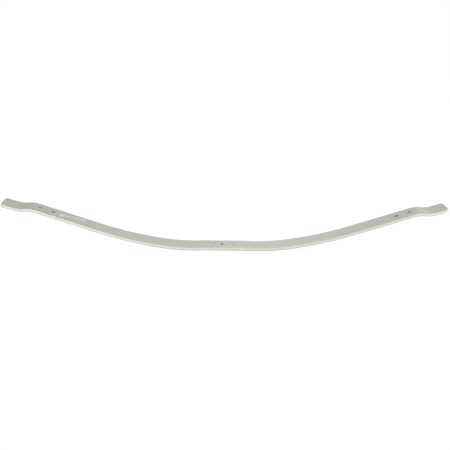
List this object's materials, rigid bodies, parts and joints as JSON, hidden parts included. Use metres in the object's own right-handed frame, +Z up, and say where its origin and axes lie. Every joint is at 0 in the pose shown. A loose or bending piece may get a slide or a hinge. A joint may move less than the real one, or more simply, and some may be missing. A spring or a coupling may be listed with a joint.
{
  "type": "leaf spring",
  "caption": "Bowed flat-bar leaf spring with a centre bolt hole on a flat seat, bolt holes near both ends and joggled flat tips.",
  "frame": {"origin": "on the axis of the centre bolt hole, at the lower face of the flat seat", "axes": "+X along the leaf, +Y across its width, +Z up out of the hollow side of the bow"},
  "size_m": [1.2518, 0.0636, 0.1312],
  "materials": {
    "silver_paint": "satin silver-grey paint over shot-peened spring steel"
  },
  "bodies": {
    "centre": {"centre_section": "silver_paint"},
    "left": {"left_arm": "silver_paint"},
    "right": {"right_arm": "silver_paint"}
  },
  "joints": [
    {"name": "left_arm_flex", "type": "hinge", "parent": "centre", "child": "left", "pos_m": [-0.11825, 0, 0.00491], "axis": [0, -1, 0], "range_deg": [0, 13.5], "stiffness_Nm_per_rad": 3060},
    {"name": "right_arm_flex", "type": "hinge", "parent": "centre", "child": "right", "pos_m": [0.13625, 0, 0.00491], "axis": [0, 1, 0], "range_deg": [0, 13.5], "stiffness_Nm_per_rad": 3060}
  ]
}
